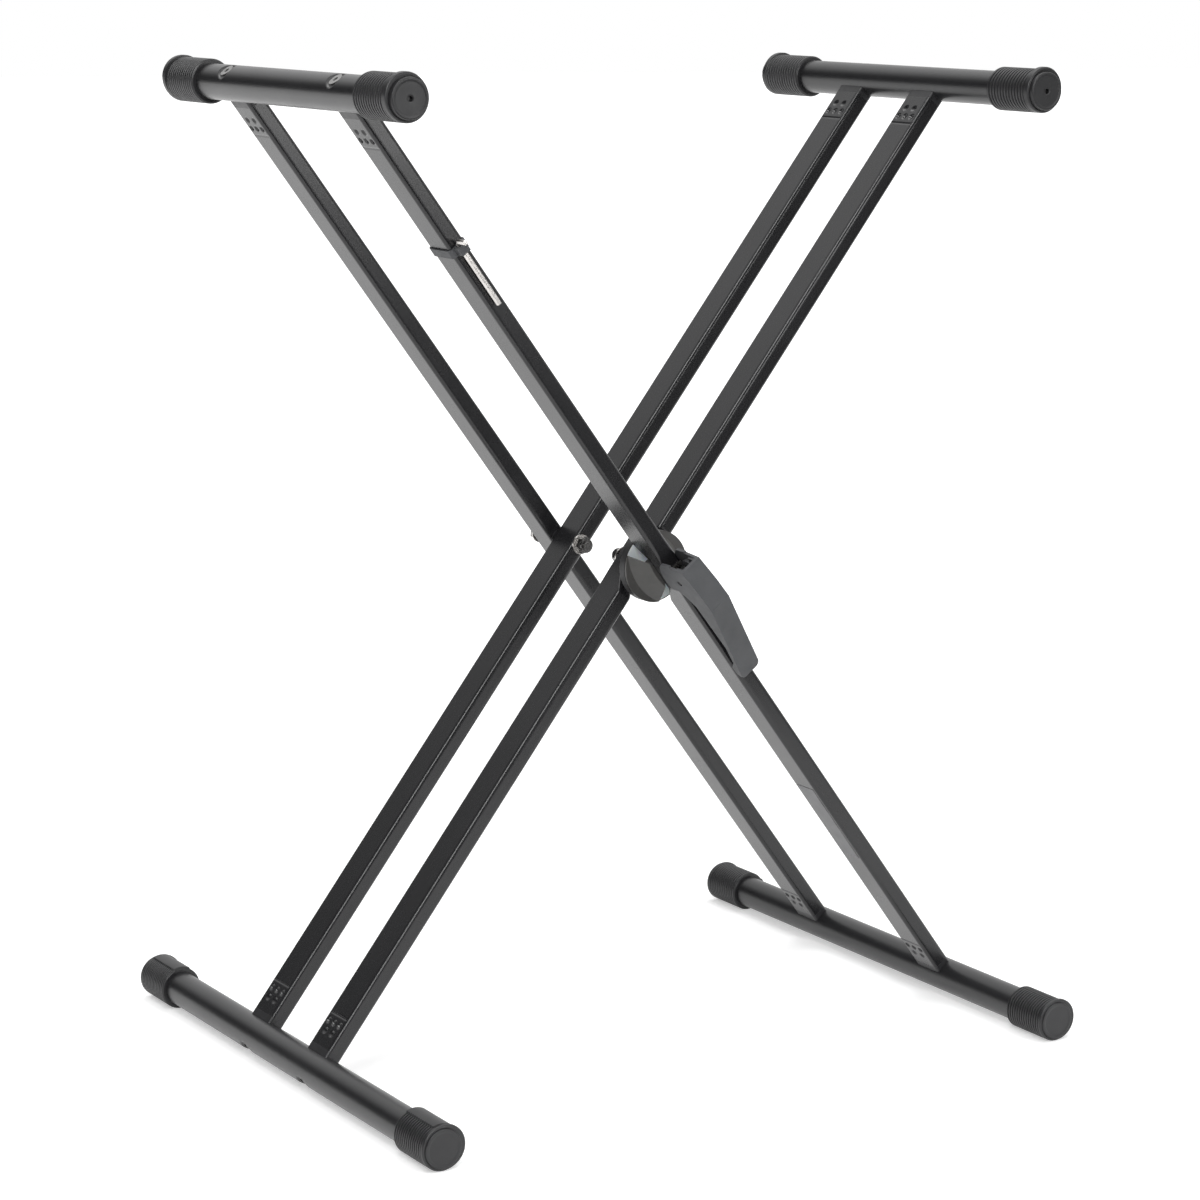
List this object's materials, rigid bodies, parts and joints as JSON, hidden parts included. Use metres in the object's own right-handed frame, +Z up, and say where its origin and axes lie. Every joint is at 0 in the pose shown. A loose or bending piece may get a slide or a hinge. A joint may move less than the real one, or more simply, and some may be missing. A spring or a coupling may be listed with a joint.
{
  "type": "folding keyboard stand",
  "caption": "Folding X-shaped stand of rectangular arms and round bars with rubber end caps, a clutch pivot with a cam lever, and a stored hex key.",
  "frame": {"origin": "on the floor under the pivot, midway along the round bars", "axes": "+Z up, +X towards the foot bar of the outer frame, +Y from the lever side to the back"},
  "size_m": [0.6396, 0.5, 0.8166],
  "materials": {
    "black_paint": "semi-gloss black powder coat",
    "cap_rubber": "matt moulded rubber",
    "insert_plastic": "black nylon",
    "black_screw": "black oxide",
    "cast_grey": "grey casting",
    "cast_dark": "dark grey casting",
    "white_nylon": "natural nylon",
    "lever_plastic": "fine-textured black moulding",
    "label_grey": "blank printed film",
    "dark_steel": "dark zinc",
    "bright_steel": "bright zinc"
  },
  "bodies": {
    "outer_frame": {"blank_label": "label_grey", "clutch_front_half": "cast_grey", "clutch_pressure_plate": "bright_steel", "hex_key_clip": "lever_plastic", "outer_arm_front": "black_paint", "outer_arm_rear": "black_paint", "outer_foot_bar": "black_paint", "outer_foot_bar_screws": "black_screw", "outer_foot_insert_front": "insert_plastic", "outer_foot_insert_rear": "insert_plastic", "outer_top_bar": "black_paint", "outer_top_bar_screws": "black_screw", "outer_top_cap_front": "cap_rubber", "outer_top_cap_rear": "cap_rubber", "outer_top_insert_front": "insert_plastic", "outer_top_insert_rear": "insert_plastic", "rear_pivot_bolt": "dark_steel", "rear_pivot_head_washer": "bright_steel", "rear_pivot_lock_nut": "dark_steel", "rear_pivot_spacer": "insert_plastic"},
    "clutch_bolt_body": {"clutch_bolt": "dark_steel", "clutch_lever_pin": "dark_steel", "clutch_lock_nut": "dark_steel"},
    "inner_frame": {"clutch_friction_ring": "white_nylon", "clutch_rear_half": "cast_dark", "clutch_release_spring": "bright_steel", "clutch_washer": "bright_steel", "inner_arm_front": "black_paint", "inner_arm_rear": "black_paint", "inner_foot_bar": "black_paint", "inner_foot_bar_screws": "black_screw", "inner_foot_insert_front": "insert_plastic", "inner_foot_insert_rear": "insert_plastic", "inner_top_bar": "black_paint", "inner_top_bar_screws": "black_screw", "inner_top_cap_front": "cap_rubber", "inner_top_cap_rear": "cap_rubber", "inner_top_insert_front": "insert_plastic", "inner_top_insert_rear": "insert_plastic", "rear_pivot_nut_washer": "bright_steel"},
    "lever_body": {"clutch_lever": "lever_plastic"},
    "hex_key_body": {"hex_key": "bright_steel"},
    "inner_foot_cap_front_body": {"inner_foot_cap_front": "cap_rubber"},
    "inner_foot_cap_rear_body": {"inner_foot_cap_rear": "cap_rubber"},
    "outer_foot_cap_front_body": {"outer_foot_cap_front": "cap_rubber"},
    "outer_foot_cap_rear_body": {"outer_foot_cap_rear": "cap_rubber"}
  },
  "joints": [
    {"name": "fold", "type": "hinge", "parent": "outer_frame", "child": "inner_frame", "pos_m": [0, -0.072, 0.4086], "axis": [0, 1, 0], "range_deg": [-68, 35]},
    {"name": "lever_turn", "type": "hinge", "parent": "clutch_bolt_body", "child": "lever_body", "pos_m": [0, -0.1205, 0.4086], "axis": [-0.7923, 0, -0.6101], "range_deg": [0, 75]},
    {"name": "clutch_release", "type": "slide", "parent": "outer_frame", "child": "clutch_bolt_body", "axis": [0, 1, 0], "range_m": [0, 0.00095]},
    {"name": "hex_key_draw", "type": "slide", "parent": "outer_frame", "child": "hex_key_body", "axis": [-0.6101, 0, 0.7923], "range_m": [0, 0.045]},
    {"name": "inner_foot_cap_front_turn", "type": "hinge", "parent": "inner_frame", "child": "inner_foot_cap_front_body", "pos_m": [-0.3008, -0.225, 0.018], "axis": [0, 1, 0], "continuous": true},
    {"name": "inner_foot_cap_rear_turn", "type": "hinge", "parent": "inner_frame", "child": "inner_foot_cap_rear_body", "pos_m": [-0.3008, 0.225, 0.018], "axis": [0, 1, 0], "continuous": true},
    {"name": "outer_foot_cap_front_turn", "type": "hinge", "parent": "outer_frame", "child": "outer_foot_cap_front_body", "pos_m": [0.3008, -0.225, 0.018], "axis": [0, 1, 0], "continuous": true},
    {"name": "outer_foot_cap_rear_turn", "type": "hinge", "parent": "outer_frame", "child": "outer_foot_cap_rear_body", "pos_m": [0.3008, 0.225, 0.018], "axis": [0, 1, 0], "continuous": true}
  ],
  "couplings": [
    {"joint": "clutch_release", "follows": "lever_turn", "m_per_rad": 0.000716}
  ]
}
